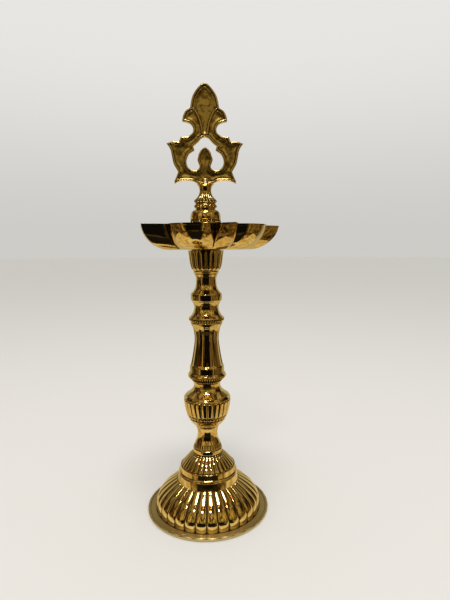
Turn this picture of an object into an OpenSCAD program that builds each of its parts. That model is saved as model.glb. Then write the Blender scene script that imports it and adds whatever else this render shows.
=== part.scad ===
// Standing brass oil lamp: a turned stem on a ribbed foot, a bowl with five spouts, and an openwork finial.
// The axis of the stem is Z, and the foot rests on Z = 0.

/* [Base] */
// Diameter over the rolled rim of the foot
base_d = 134.8; // [132:0.2:138]
// Wall of the bell and of the dome above it
base_wall = 2.4; // [2:0.1:3]
// Height of the flat deck on top of the bell
deck_z = 33.2; // [32.8:0.1:33.6]
// Height of the dome's flat top
dome_top_z = 64.1; // [63.5:0.1:64.6]

/* [Stem] */
// Height at which the bulb stands on the neck
bulb_z = 93; // [92.6:0.1:93.4]
// Height at which the column stands on the bulb
column_z = 140; // [139.5:0.1:140.5]
// Height at which the upper stem stands on the column
upper_z = 210.5; // [210.2:0.1:210.8]
// Height at which the cup stands on the upper stem
cup_z = 263.3; // [263:0.1:263.6]
// Height of the cup's top, where the bowl's seal lies
cup_top_z = 287.4; // [287:0.1:287.6]

/* [Bowl] */
// Radius at the tips of the spouts
tip_r = 78.5; // [74:0.5:80]
// Radius at the creases between spouts and lobes
crease_r = 58; // [55:0.5:60]
// Radius at the middle of a lobe
lobe_r = 68; // [65:0.5:70]
// Number of spouts
spouts = 5; // [5:1:5]
// Direction of the first spout, about the stem's axis
first_spout = 2.6; // [0:0.1:72]
// Depth of the bowl from rim to underside
bowl_depth = 25; // [24:0.1:26]
// Wall of the bowl
bowl_wall = 1.8; // [1.6:0.1:2.2]
// Size of the bowl's flat bottom, as a share of its rim
floor_share = 0.6; // [0.56:0.01:0.62]
// Thickness of the seals under and over the bowl's bottom
seal_t = 0.8; // [0.6:0.1:1]

/* [Finial] */
// Height at which the spacer washer lies on the collar
collar_top_z = 329.3; // [329:0.1:329.6]
// Thickness of the spacer washer under the finial
spacer_t = 2.3; // [2:0.1:2.6]
// Height of the plate's lower edge at the foot
plate_z = 356.2; // [356:0.1:356.4]
// Height of the lamp
lamp_h = 457; // [456:0.5:458]
// Thickness of the finial plate
plate_t = 5.6; // [4:0.1:7]

/* [Fasteners] */
// Diameter of the rods through the foot and the lower stem
rod_d = 10; // [9:0.5:10]
// Diameter of the rod that carries the bowl
bowl_rod_d = 8; // [7:0.5:8]
// Diameter of the rod and the tenon of the finial
finial_rod_d = 6; // [5:0.5:6]
// Width of the nut across its flats
nut_af = 17; // [16:0.5:18]
// Height of the nut
nut_h = 8; // [7:0.5:9]

/* [Hidden] */
$fn = 96;

brass = "goldenrod";
cast_brass = "darkgoldenrod";
steel = "silver";
fibre = "saddlebrown";

// Radial clearance of a rod in a piece that moves on it, and in a piece that is screwed tight to it
running_gap = 0.05;
fixed_gap = 0.02;
// How far a cutting solid runs past the faces that it opens
over = 1;
// Straight steps between two neighbouring points of a smooth outline
curve_steps = 4;

base_r = base_d / 2;
rim_r = 1.5;
flange_z = 2.2;
boss_r = 11;
boss_z = deck_z - base_wall - 2.8;
washer_t = 1.6;
washer_r = 10;
nut_z = boss_z - washer_t - nut_h;
base_stud_z = 15;
base_stud_top = 80;
bulb_stud_z = 81;
bulb_stud_top = 110;
column_stud_z = 128;
column_stud_top = 157;
upper_stud_z = 197;
upper_stud_top = 226;
cup_stud_z = 250;
bowl_z = cup_top_z + seal_t;
collar_z = bowl_z + bowl_wall + seal_t;
cup_stud_top = collar_z + 12;
seal_r = 15;
collar_bore_top = 306;
foot_z = collar_top_z + spacer_t;
finial_stud_z = 315;
finial_stud_top = foot_z + 9.5;
foot_bore_top = foot_z + 10;
tenon_z = foot_bore_top + 1.5;

// A point on the Catmull-Rom curve from b to c, with a before and d after them
function curve_point(a, b, c, d, t) =
    0.5 * (2 * b + (c - a) * t + (2 * a - 5 * b + 4 * c - d) * t * t + (3 * b - a - 3 * c + d) * t * t * t);

// A smooth outline through the points p
function smooth(p, steps = curve_steps) =
    let (last = len(p) - 1)
    concat(
        [for (i = [0:last - 1], k = [0:steps - 1])
            curve_point(p[max(i - 1, 0)], p[i], p[i + 1], p[min(i + 2, last)], k / steps)],
        [p[last]]);

// Points on an arc of radius r about c, from angle a to angle b
function arc(c, r, a, b, steps = 8) =
    [for (i = [0:steps]) let (t = a + (b - a) * i / steps) c + r * [cos(t), sin(t)]];

// The same outline moved inwards by t, square to the line through each point's neighbours
function inset(p, t) =
    [for (i = [0:len(p) - 1])
        let (d = p[min(i + 1, len(p) - 1)] - p[max(i - 1, 0)]) p[i] + t * [-d[1], d[0]] / norm(d)];

function reversed(p) = [for (i = [len(p) - 1:-1:0]) p[i]];

// A solid of revolution whose outside follows the points p, given from bottom to top
module turned(p) {
    rotate_extrude() polygon(concat([[0, p[0][1]]], p, [[0, p[len(p) - 1][1]]]));
}

module bore(r, z0, z1) {
    translate([0, 0, z0]) cylinder(r = r, h = z1 - z0);
}

module rod(d, z0, z1, chamfer = 0.6) {
    turned([[d / 2 - chamfer, z0], [d / 2, z0 + chamfer], [d / 2, z1 - chamfer], [d / 2 - chamfer, z1]]);
}

module ring(r, hole_r, z0, t) {
    difference() {
        bore(r, z0, z0 + t);
        bore(hole_r, z0 - over, z0 + t + over);
    }
}

// ---- Foot ----

// The ribbed side of the bell, from the flange up to the deck
bell_side = smooth([[58.4, flange_z], [58.2, 7.4], [57.6, 10.8], [56.1, 14.4], [52.4, 19.8], [47.4, 24.6],
                    [42.4, 28.3], [38.3, 31], [34.8, deck_z]]);

module base_bell() {
    rim = arc([base_r - rim_r, rim_r], rim_r, -90, 150);
    outside = concat([[base_r - 6.5, 0]], rim, [[base_r - 3, flange_z]], bell_side, [[0, deck_z]]);
    inside_side = [for (p = inset(bell_side, base_wall)) [p[0], min(p[1], deck_z - base_wall)]];
    color(brass) difference() {
        union() {
            rotate_extrude() polygon(concat(outside, [[0, deck_z - base_wall]], reversed(inside_side)));
            bore(boss_r, boss_z, deck_z - base_wall / 2);
        }
        bore(rod_d / 2 + running_gap, 0, deck_z + over);
    }
}

// The ribbed crown, the plain band with two beads, and the skirt that stands on the deck
dome_crown = smooth([[29.1, 50], [27.7, 52.2], [25.5, 54.8], [22.6, 58.1], [19.2, 61.3], [16.6, 63.2],
                     [15, dome_top_z]]);
dome_band = [[33.9, deck_z], [32.3, 40.6], [32.7, 41.3], [32.2, 42.1], [32.5, 42.9], [32, 43.7],
             [31.3, 44.2], [30.4, 49.4]];

module base_dome() {
    skirt_inside = [[33.9 - base_wall, deck_z], [29.4, 43.7], [27.6, 49.4]];
    crown_inside = [for (p = inset(dome_crown, base_wall)) [p[0], min(p[1], dome_top_z - base_wall)]];
    color(brass) difference() {
        rotate_extrude() polygon(concat(dome_band, dome_crown,
            [[0, dome_top_z], [0, dome_top_z - base_wall]], reversed(crown_inside), reversed(skirt_inside)));
        bore(rod_d / 2 + running_gap, deck_z, dome_top_z + over);
    }
}

module base_washer() {
    color(steel) ring(washer_r, rod_d / 2 + running_gap, boss_z - washer_t, washer_t);
}

module base_nut() {
    color(steel) difference() {
        translate([0, 0, nut_z]) cylinder(d = nut_af / cos(30), h = nut_h, $fn = 6);
        bore(rod_d / 2 + running_gap, nut_z - over, nut_z + nut_h + over);
    }
}

module base_stud() {
    color(steel) rod(rod_d, base_stud_z, base_stud_top);
}

// ---- Stem ----

module neck() {
    side = concat([[15.7, dome_top_z], [16.1, 64.9], [16.1, 68.7], [15.5, 69.2]],
        smooth([[15.7, 70.2], [14, 74.6], [11.8, 79.6], [10.9, 84.5], [11.1, 88.3], [12.2, bulb_z]]));
    color(brass) difference() {
        turned(side);
        bore(rod_d / 2 + fixed_gap, dome_top_z - over, bulb_z + over);
    }
}

module bulb() {
    side = concat([[12.4, bulb_z], [13, 94], [12.9, 95]],
        smooth([[13.6, 95.6], [16.8, 98.3], [20, 102.8], [21.4, 105.4]]),
        smooth([[21.6, 105.8], [22.7, 108.6], [24.1, 113.8], [25.2, 119.4], [25.7, 123.6], [25.5, 127.2],
                [23.6, 129.9]]),
        smooth([[23, 130.2], [20.4, 132.1], [17, 135], [15, 138.2], [14.6, column_z]]));
    color(brass) difference() {
        turned(side);
        bore(rod_d / 2 + fixed_gap, bulb_z - over, bulb_stud_top + over);
        bore(rod_d / 2 + fixed_gap, column_stud_z - over, column_z + over);
    }
}

module bulb_stud() {
    color(steel) rod(rod_d, bulb_stud_z, bulb_stud_top);
}

module column() {
    side = concat(
        smooth([[14.4, column_z], [14.6, 142.2], [15.5, 144.6], [17.6, 147.2], [19.8, 149.3], [20.8, 151.3],
                [20.2, 153.6]]),
        [[19.2, 154.9], [18.8, 155.4], [18.7, 161.8], [18.2, 162.4]],
        smooth([[17.9, 163], [16.5, 169.6], [15, 178], [13.7, 187], [13.3, 193.6], [14, 200], [15, 204.4],
                [16.6, 207.6], [17.3, 209.6]]),
        [[17.1, upper_z]]);
    color(brass) difference() {
        turned(side);
        bore(rod_d / 2 + fixed_gap, column_z - over, column_stud_top + over);
        bore(rod_d / 2 + fixed_gap, upper_stud_z - over, upper_z + over);
    }
}

module column_stud() {
    color(steel) rod(rod_d, column_stud_z, column_stud_top);
}

module upper_stem() {
    side = concat([[17.1, upper_z], [17.8, 211.6]],
        smooth([[18.7, 212.3], [19.2, 213.8], [18.9, 215.3]]),
        smooth([[18.2, 216], [15.8, 218.8], [14, 222.3], [13.2, 225.8], [13.5, 228.8], [14.6, 231.6],
                [15.4, 233]]),
        [[16.4, 234.2], [16.7, 235], [16.7, 241], [16.3, 241.7], [15.6, 241.9]],
        smooth([[14.8, 243], [12.7, 246.2], [11.4, 249.9], [10.9, 255.2], [11.2, 258.8], [12.6, 262.2]]),
        [[12.8, cup_z]]);
    color(brass) difference() {
        turned(side);
        bore(rod_d / 2 + fixed_gap, upper_z - over, upper_stud_top + over);
        bore(bowl_rod_d / 2 + fixed_gap, cup_stud_z - over, cup_z + over);
    }
}

module upper_stud() {
    color(steel) rod(rod_d, upper_stud_z, upper_stud_top);
}

module cup() {
    side = smooth([[13.1, cup_z], [14.1, 265.2], [15.8, 268.4], [17.1, 272.6], [17.8, 277], [18.4, 282.2],
                   [19.3, cup_top_z]]);
    color(brass) difference() {
        turned(side);
        bore(bowl_rod_d / 2 + fixed_gap, cup_z - over, cup_top_z + over);
    }
}

module cup_stud() {
    color(steel) rod(bowl_rod_d, cup_stud_z, cup_stud_top);
}

// ---- Bowl ----

module bowl_seal() {
    color(fibre) ring(seal_r, bowl_rod_d / 2 + running_gap, cup_top_z, seal_t);
}

sector = 360 / spouts;
// Half of the angle that a spout takes up at its root
spout_half = 11.7;
lobe_half = sector / 2 - spout_half;
// How full the wall is between the bottom and the rim: 2 would be a quarter of an ellipse
wall_power = 1.8;
spout_steps = 3;
lobe_steps = 10;
wall_steps = 9;

// Radius of a round lobe's outline at angle a from its middle: an arc through the creases and the middle
function lobe_radius(a, mid_r, edge_r) =
    let (chord = edge_r * sin(lobe_half),
         rise = mid_r - edge_r * cos(lobe_half),
         arc_r = (chord * chord + rise * rise) / (2 * rise),
         centre = mid_r - arc_r)
    centre * cos(a) + sqrt(arc_r * arc_r - pow(centre * sin(a), 2));

// Radius of the bowl's outline at angle a from a spout's middle
function outline_radius(a, tip, edge, mid) =
    abs(a) <= spout_half ? tip - (tip - edge) * abs(a) / spout_half : lobe_radius(sector / 2 - a, mid, edge);

// The angles of one sector, from a spout's tip round to just before the next one
sector_angles = concat(
    [for (i = [0:spout_steps - 1]) spout_half * i / spout_steps],
    [for (i = [0:lobe_steps - 1]) spout_half + 2 * lobe_half * i / lobe_steps],
    [for (i = [0:spout_steps - 1]) sector - spout_half + spout_half * i / spout_steps]);
bowl_angles = [for (s = [0:spouts - 1], a = sector_angles) [s * sector + first_spout, a]];

// One level of the bowl's wall: h runs from 0 at the flat bottom to 1 at the rim
function bowl_level(h, z0, depth, tip, edge, mid) =
    let (spread = pow(1 - pow(1 - h, wall_power), 1 / wall_power),
         share = floor_share + (1 - floor_share) * spread)
    [for (b = bowl_angles)
        let (a = b[1] > sector - spout_half ? b[1] - sector : b[1],
             r = outline_radius(a, tip, edge, mid) * share,
             t = b[0] + b[1])
        [r * cos(t), r * sin(t), z0 + depth * h]];

module bowl() {
    // The wall is thicker along a radius at the spouts and the creases, where it stands askew
    tip_wall = 2.1 * bowl_wall;
    crease_wall = 1.3 * bowl_wall;
    n = len(bowl_angles);
    levels = wall_steps + 1;
    heights = [for (j = [0:wall_steps]) pow(j / wall_steps, 1.5)];
    outside = [for (h = heights) each bowl_level(h, bowl_z, bowl_depth, tip_r, crease_r, lobe_r)];
    inside = [for (h = heights) each bowl_level(h, bowl_z + bowl_wall, bowl_depth - bowl_wall,
        tip_r - tip_wall, crease_r - crease_wall, lobe_r - bowl_wall)];
    m = levels * n;
    wall = [for (j = [0:wall_steps - 1], i = [0:n - 1])
        let (k = (i + 1) % n, b = j * n, t = b + n) each [[b + i, t + i, b + k], [t + i, t + k, b + k]]];
    inner_wall = [for (f = wall) [m + f[0], m + f[2], m + f[1]]];
    rim = [for (i = [0:n - 1])
        let (k = (i + 1) % n, o = m - n, q = 2 * m - n) each [[o + i, q + i, o + k], [q + i, q + k, o + k]]];
    floor_faces = [[for (i = [0:n - 1]) i], [for (i = [n - 1:-1:0]) m + i]];
    color(brass) difference() {
        polyhedron(concat(outside, inside), concat(wall, inner_wall, rim, floor_faces), convexity = 6);
        bore(bowl_rod_d / 2 + running_gap, bowl_z - over, bowl_z + bowl_wall + over);
    }
}

module collar_washer() {
    color(fibre) ring(seal_r, bowl_rod_d / 2 + running_gap, bowl_z + bowl_wall, seal_t);
}

// ---- Collar and finial ----

module collar() {
    side = concat([[17, collar_z], [17, 292.6], [16.2, 293.4]],
        smooth([[15, 293.8], [11.9, 297], [10.8, 302], [11.8, 308], [14.6, 312.8], [15.9, 314.6]]),
        [[16.4, 315.2], [16.4, 317.2], [16.1, 317.8]],
        smooth([[16.1, 319.4], [15.8, 323.6], [15, 326.6], [13, 328.7], [11, collar_top_z]]));
    color(brass) difference() {
        turned(side);
        bore(bowl_rod_d / 2 + running_gap, collar_z - over, collar_bore_top);
        bore(finial_rod_d / 2 + fixed_gap, finial_stud_z - over, collar_top_z + over);
    }
}

module finial_washer() {
    color(brass) ring(10.7, finial_rod_d / 2 + running_gap, collar_top_z, spacer_t);
}

module finial_stud() {
    color(steel) rod(finial_rod_d, finial_stud_z, finial_stud_top);
}

module finial_foot() {
    side = concat(
        smooth([[11.2, foot_z], [12.1, 333], [11.2, 334.9]]),
        [[10.6, 335.4], [10.6, 336.6]],
        smooth([[11.2, 337], [12, 338.2], [11.6, 339.8]]),
        smooth([[9.8, 341.2], [7.2, 344.6], [6.1, 348.6], [6.7, 352.8], [8.4, 355.4]]),
        [[9.2, plate_z]]);
    color(brass) difference() {
        turned(side);
        bore(finial_rod_d / 2 + running_gap, foot_z - over, foot_bore_top);
        bore(finial_rod_d / 2 + fixed_gap, tenon_z - 0.5, plate_z + over);
    }
}

// The right half of the plate's outline, from the middle of its foot up to its tip
half_outline = concat(
    smooth([[5, plate_z], [9.6, 357.6], [13, 359.4], [20, 360], [26.6, 359.4], [32.2, 356.8]], 3),
    smooth([[31.8, 359.6], [29.6, 364.4], [28, 368.6]], 3),
    smooth([[30.4, 372.6], [32.6, 376.8], [34, 383], [35.2, 389.4], [37, 393.6]], 3),
    smooth([[39.6, 397], [33, 399], [26.6, 398.8]], 3),
    [[24.8, 403.6]],
    smooth([[16.2, 404.6], [12.4, 408.2], [12.2, 413], [14.8, 416.7], [19, 418.5]], 3),
    smooth([[23, 419.2], [22.4, 423.6], [19.8, 429], [15.2, 432.1]], 3),
    smooth([[14.8, 432.8], [13.7, 439.2], [11.8, 445], [8, 450.8], [3.6, 455.4]], 3));

// The right half of the opening's outline, from the middle of the bud's tip up to the apex
half_opening = concat(
    smooth([[0, 393.6], [3.5, 391.1], [5.8, 387.9], [7.2, 384.1], [7.9, 380.8]], 2),
    smooth([[7, 377.8], [5.8, 374.2], [7.2, 371.2], [10, 370.1], [13.3, 370.3], [16.1, 371.5], [18.2, 374],
            [19.3, 377.8], [19, 381.4], [17, 386], [14.2, 388.4], [10.9, 390.3]], 2),
    smooth([[12.3, 394.6], [8, 398], [4.2, 402.2]], 3),
    [[0, 404]]);

// A closed outline that is the same on both sides of the middle line
function both_sides(p) = concat(p, [for (q = reversed(p)) if (q[0] > 0) [-q[0], q[1]]]);

module finial_plate() {
    color(cast_brass) union() {
        translate([0, plate_t / 2, 0]) rotate([90, 0, 0]) linear_extrude(plate_t) difference() {
            polygon(both_sides(concat(half_outline, [[0, lamp_h]])));
            polygon(both_sides(half_opening));
        }
        rod(finial_rod_d, tenon_z, plate_z + 4);
    }
}

base_bell();
base_dome();
base_washer();
base_nut();
base_stud();
neck();
bulb();
bulb_stud();
column();
column_stud();
upper_stem();
upper_stud();
cup();
cup_stud();
bowl_seal();
bowl();
collar_washer();
collar();
finial_washer();
finial_stud();
finial_foot();
finial_plate();
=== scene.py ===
"""A standing brass oil lamp: turned, fluted castings, a bowl with five wick spouts and an openwork finial."""

import math

import bmesh
import bpy
import numpy as np
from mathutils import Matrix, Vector, geometry

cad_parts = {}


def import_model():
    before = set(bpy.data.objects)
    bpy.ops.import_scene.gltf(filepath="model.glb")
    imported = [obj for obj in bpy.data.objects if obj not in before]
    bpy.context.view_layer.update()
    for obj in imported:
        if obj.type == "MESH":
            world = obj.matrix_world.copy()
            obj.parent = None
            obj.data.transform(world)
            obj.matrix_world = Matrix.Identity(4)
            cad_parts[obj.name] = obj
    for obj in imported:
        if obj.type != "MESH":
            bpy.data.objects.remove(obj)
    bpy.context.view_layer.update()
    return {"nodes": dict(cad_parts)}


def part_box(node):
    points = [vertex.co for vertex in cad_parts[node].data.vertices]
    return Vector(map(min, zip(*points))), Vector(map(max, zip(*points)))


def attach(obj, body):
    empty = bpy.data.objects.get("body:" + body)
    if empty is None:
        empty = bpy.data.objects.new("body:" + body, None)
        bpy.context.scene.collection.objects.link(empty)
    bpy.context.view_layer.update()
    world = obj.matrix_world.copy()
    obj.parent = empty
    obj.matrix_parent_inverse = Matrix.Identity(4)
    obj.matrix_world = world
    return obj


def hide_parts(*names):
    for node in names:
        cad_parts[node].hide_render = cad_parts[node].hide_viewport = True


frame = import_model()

MM = 0.001


# ---- Small helpers for shapes ----

def smoothstep(a, b, x):
    """0 below a, 1 above b, and a smooth rise between them."""
    t = np.clip((x - a) / (b - a), 0, 1)
    return t * t * (3 - 2 * t)


def band(x, low, high, soft):
    """1 between low and high, fading out over soft on each side."""
    return smoothstep(low - soft, low, x) * (1 - smoothstep(high, high + soft, x))


def arch(x):
    """Height of a half circle of radius 1 at x from its middle, and 0 beside it."""
    return np.sqrt(np.clip(1 - x ** 2, 0, 1))


def rib_place(angle, count, valley):
    """Where an angle lies across its rib: 0 at the crest, and -0.5 and 0.5 in the valleys."""
    turns = (angle - valley) * count / 360
    return turns - np.floor(turns) - 0.5


def round_rib(across, end=0.0, fullness=0.8):
    """Depth of a rounded rib under its crest, 0 to 1; end runs from 0 to 1 over the rib's rounded end."""
    out = np.minimum((2 * across) ** 2 + end ** 2, 1)
    return (1 - np.sqrt(1 - fullness * out)) / (1 - math.sqrt(1 - fullness))


def between(t, start, end, a, b):
    """The point on the straight way from a, where t is start, to b, where t is end."""
    return ((end - t) * a + (t - start) * b) / (end - start)


def catmull(points, step):
    """Points about step apart on a centripetal Catmull-Rom curve through an open row of points."""
    points = np.asarray(points, float)
    if len(points) < 3:
        count = max(1, int(np.ceil(np.linalg.norm(points[-1] - points[0]) / step)))
        return points[0] + (points[-1] - points[0]) * np.linspace(0, 1, count + 1)[:, None]
    padded = np.vstack([2 * points[0] - points[1], points, 2 * points[-1] - points[-2]])
    out = []
    for i in range(1, len(padded) - 2):
        p = padded[i - 1:i + 3]
        knots = np.concatenate([[0], np.cumsum(np.sqrt(np.linalg.norm(np.diff(p, axis=0), axis=1)))])
        count = max(1, int(np.ceil(np.linalg.norm(p[2] - p[1]) / step)))
        t = (knots[1] + (knots[2] - knots[1]) * np.arange(count) / count)[:, None]
        a = [between(t, knots[k], knots[k + 1], p[k], p[k + 1]) for k in range(3)]
        b = [between(t, knots[k], knots[k + 2], a[k], a[k + 1]) for k in range(2)]
        out.append(between(t, knots[1], knots[2], b[0], b[1]))
    return np.vstack(out + [points[-1:]])


def turn_angles(points, closed):
    """How far the row of points turns at each point, in degrees; 0 at the ends of an open row."""
    before = points - np.roll(points, 1, axis=0)
    after = np.roll(points, -1, axis=0) - points
    cross = before[:, 0] * after[:, 1] - before[:, 1] * after[:, 0]
    turn = np.degrees(np.arctan2(cross, (before * after).sum(1)))
    if not closed:
        turn[[0, -1]] = 0
    return turn


def turns_left(ring):
    """Whether the closed row of points runs anticlockwise."""
    return np.sum(ring[:, 0] * np.roll(ring[:, 1], -1) - np.roll(ring[:, 0], -1) * ring[:, 1]) > 0


def along_curve(points):
    """Length along an open row of points, from its start to each point."""
    return np.concatenate([[0], np.cumsum(np.linalg.norm(np.diff(points, axis=0), axis=1))])


def fair_curve(points, closed, corner, step):
    """A dense curve through the points that keeps the turns sharper than corner degrees."""
    points = np.asarray(points, float)
    sharp = np.flatnonzero(np.abs(turn_angles(points, closed)) > corner)
    if closed:
        start = sharp[0] if len(sharp) else 0
        points = np.vstack([np.roll(points, -start, axis=0), points[start:start + 1]])
        sharp = np.append(sharp - start, len(points) - 1)
    ends = sorted(set([0, len(points) - 1]) | set(sharp.tolist()))
    runs = [catmull(points[a:b + 1], step) for a, b in zip(ends[:-1], ends[1:])]
    return np.vstack([run[:-1] for run in runs] + ([] if closed else [points[-1:]]))


# ---- Turned pieces, from the outlines of their CAD nodes ----

# Reach of the polishing that rounds corners, and limits on a turned piece's rows
SOFTEN = 0.12 * MM
COARSE = 2.5 * MM
BEND = 9
# Points of a CAD mesh this close together, in metres, are one point
WELD = 1e-6
# Spacing of the points that an outline's rows are picked from
DENSE_STEP = 0.05 * MM
# An outline keeps turns sharper than CORNER degrees, and loses points that turn it by less than STRAIGHT
CORNER = 33
STRAIGHT = 0.2
# A row is inside where its normal points further inwards than OUTWARD, and this close to the bore's wall
OUTWARD = -0.2
BORE_MARGIN = 0.3 * MM
# A hollow of this radius holds as much residue as any
HOLLOW_R = 1.2 * MM


def half_section(node):
    """A turned CAD node's outline in the half plane y = 0, x >= 0: ordered (radius, height) points in metres.

    Also whether it closes on itself, as it does round a bore that runs through. Its solid is on the left."""
    bm = bmesh.new()
    bm.from_mesh(frame["nodes"][node].data)
    bmesh.ops.remove_doubles(bm, verts=bm.verts, dist=WELD)
    for normal, clear in (((1, 0, 0), True), ((0, 1, 0), False)):
        cut = bmesh.ops.bisect_plane(bm, geom=[*bm.verts, *bm.edges, *bm.faces], dist=WELD / 10,
                                     plane_co=(0, 0, 0), plane_no=normal, clear_inner=clear)
    links = {}
    for edge in cut["geom_cut"]:
        if isinstance(edge, bmesh.types.BMEdge):
            a, b = ((round(v.co.x / WELD), round(v.co.z / WELD)) for v in edge.verts)
            if a != b:
                links.setdefault(a, set()).add(b)
                links.setdefault(b, set()).add(a)
    bm.free()
    loose = sorted(k for k, v in links.items() if len(v) == 1)
    here = loose[0] if loose else min(links)
    chain = [here]
    while True:
        onward = [k for k in links[here] if k not in chain[-2:]]
        if not onward or onward[0] == chain[0]:
            break
        here = onward[0]
        chain.append(here)
    points = np.array(chain, float) * WELD
    closed = not loose
    keep = np.abs(turn_angles(points, closed)) > STRAIGHT
    if not closed:
        keep[[0, -1]] = True
    points = points[keep]
    ring = points if closed else np.vstack([points, [[0, points[-1, 1]], [0, points[0, 1]]]])
    return (points if turns_left(ring) else points[::-1]), closed


def polished_section(node, fine):
    """Rows of a turned piece: radius, height, normal and how hollow it is there, all along its outline.

    Its corners are softened as by polishing. Rows lie fine apart on the outside and COARSE apart inside, and
    closer where the outline bends, with no more than about BEND degrees from one row to the next."""
    points, closed = half_section(node)
    dense = fair_curve(points, closed, CORNER, DENSE_STEP)
    if closed:
        dense = np.vstack([dense, dense[:1]])
    length = along_curve(dense)
    even = np.linspace(0, length[-1], int(length[-1] / DENSE_STEP))
    dense = np.c_[np.interp(even, length, dense[:, 0]), np.interp(even, length, dense[:, 1])]
    step = even[1]
    reach = int(4 * SOFTEN / step) + 2
    if closed:
        dense = dense[:-1]
        wide = np.vstack([dense[-reach:], dense, dense[:reach]])
    else:
        mirror = np.array([-1, 1])
        wide = np.vstack([(dense[1:reach + 1] * mirror)[::-1], dense, (dense[-reach - 1:-1] * mirror)[::-1]])
    weights = np.exp(-0.5 * (np.arange(-reach, reach + 1) * step / SOFTEN) ** 2)
    weights /= weights.sum()
    dense = np.c_[[np.convolve(wide[:, k], weights, "valid") for k in range(2)]].T
    along = np.roll(dense, -1, axis=0) - np.roll(dense, 1, axis=0)
    if not closed:
        along[0], along[-1] = (1, 0), (-1, 0)
        dense[[0, -1], 0] = 0
    along /= np.linalg.norm(along, axis=1)[:, None]
    heading = np.unwrap(np.arctan2(along[:, 1], along[:, 0]))
    curve = np.gradient(heading) / step
    normal = np.c_[along[:, 1], -along[:, 0]]
    outside = normal[:, 0] > OUTWARD
    if closed:
        outside &= dense[:, 0] > dense[:, 0].min() + BORE_MARGIN
    cost = 1 / np.where(outside, fine, COARSE) + np.abs(curve) / math.radians(BEND)
    total = np.concatenate([[0], np.cumsum((cost[1:] + cost[:-1]) / 2 * step)])
    rows = int(np.ceil(total[-1]))
    pick = np.interp(np.linspace(0, total[-1], rows, endpoint=not closed), total, np.arange(len(dense)))
    at = lambda values: np.interp(pick, np.arange(len(dense)), values)
    hollow = np.clip(-at(curve) * HOLLOW_R, 0, 1)
    return {"r": at(dense[:, 0]), "z": at(dense[:, 1]), "nr": at(normal[:, 0]), "nz": at(normal[:, 1]),
            "hollow": hollow, "closed": closed}


def rib_angles(count, per_rib, valley, gather=0.55):
    """Angles round the axis, per_rib to each rib, gathered towards the valleys."""
    t = np.arange(per_rib) / per_rib
    t = t - gather * np.sin(2 * math.pi * t) / (2 * math.pi)
    return valley + 360 / count * (np.arange(count)[:, None] + t[None, :]).ravel()


def set_attribute(mesh, name, values):
    """Gives each vertex of the mesh its value under this name, for the materials."""
    attribute = mesh.attributes.new(name, "FLOAT", "POINT")
    attribute.data.foreach_set("value", values.astype(np.float32))


def grid_piece(name, points, wrap_rows, poles=(False, False), attributes=None):
    """A mesh object from a grid of points, rows by columns, whose columns close into a ring.

    The rows close too where wrap_rows is true. poles says whether the first and the last row are a point."""
    rows, columns = points.shape[:2]
    index = np.arange(rows * columns).reshape(rows, columns)
    right = np.roll(index, -1, axis=1)
    strips = range(rows) if wrap_rows else range(int(poles[0]), rows - int(poles[1]) - 1)
    faces = []
    for i in strips:
        k = (i + 1) % rows
        faces += np.c_[index[i], right[i], right[k], index[k]].tolist()
    if poles[0]:
        faces += np.c_[np.full(columns, index[0, 0]), right[1], index[1]].tolist()
    if poles[1]:
        faces += np.c_[index[-2], right[-2], np.full(columns, index[-1, 0])].tolist()
    used = np.unique([i for face in faces for i in face])
    new = dict(zip(used.tolist(), range(len(used))))
    mesh = bpy.data.meshes.new(name)
    mesh.from_pydata(points.reshape(-1, 3)[used].tolist(), [], [[new[i] for i in face] for face in faces])
    for key, values in (attributes or {}).items():
        set_attribute(mesh, key, np.broadcast_to(values, (rows, columns)).ravel()[used])
    return finished(name, mesh)


def finished(name, mesh):
    """A smooth-shaded object in the scene from a mesh."""
    mesh.validate()
    mesh.shade_smooth()
    piece = bpy.data.objects.new(name, mesh)
    bpy.context.scene.collection.objects.link(piece)
    return piece


def circle(bm, r, z, count):
    """New points round a level circle, or one point where r is 0."""
    turn = [2 * math.pi * k / count for k in range(count if r else 1)]
    return [bm.verts.new((r * math.cos(t), r * math.sin(t), z)) for t in turn]


def settle(piece, node, body, material):
    """Puts the piece in place of its CAD node, on its body, with its finish."""
    piece.data.materials.append(material)
    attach(piece, body)
    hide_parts(node)
    return piece


def no_relief(angle, height, radius):
    """A plain turned surface."""
    return np.zeros(np.broadcast(angle, height).shape), 0.0


def turned_piece(node, body, material, ribs, relief=no_relief, fine=0.5):
    """A turned casting with its ribs and beads cut into the outline of its CAD node.

    relief(angle, height, radius) gives the depth cut and how much dark residue lies there; angles are in
    degrees, heights in mm above the piece's foot and radii in mm."""
    rows = polished_section(node, fine * MM)
    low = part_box(node)[0]
    angle = rib_angles(*ribs)[None, :]
    r, z, nr, nz = (rows[k][:, None] for k in ("r", "z", "nr", "nz"))
    depth, residue = relief(angle, (z - low.z) / MM, r / MM)
    outside = smoothstep(0.02, 0.2, nr)
    depth = depth * MM * outside
    radius = r - depth * nr
    height = np.broadcast_to(z - depth * nz, depth.shape)
    turn = np.radians(angle)
    points = np.stack([radius * np.cos(turn), radius * np.sin(turn), height], axis=2)
    poles = (not rows["closed"], not rows["closed"])
    crevice = np.clip(residue * outside + 0.8 * rows["hollow"][:, None], 0, 1)
    inner = (1 - smoothstep(-0.05, 0.05, nr)) * (1 - smoothstep(0.2, 0.5, nz))
    piece = grid_piece(node + "_casting", points, rows["closed"], poles, {"crevice": crevice, "inner": inner})
    return settle(piece, node, body, material)


# ---- Reliefs of the castings; lengths in mm, angles in degrees ----

# A valley of the bell's and of the dome's ribs, and an arris of the column's flutes
BELL_VALLEY = -91.75
DOME_VALLEY = -87.5
COLUMN_ARRIS = -100.5
# The other castings have a valley straight ahead
FRONT = -90


def valley_mark(across, width):
    """1 in a valley, falling to 0 within width of the rib on each side."""
    return 1 - smoothstep(0, width, 0.5 - np.abs(across))


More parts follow.
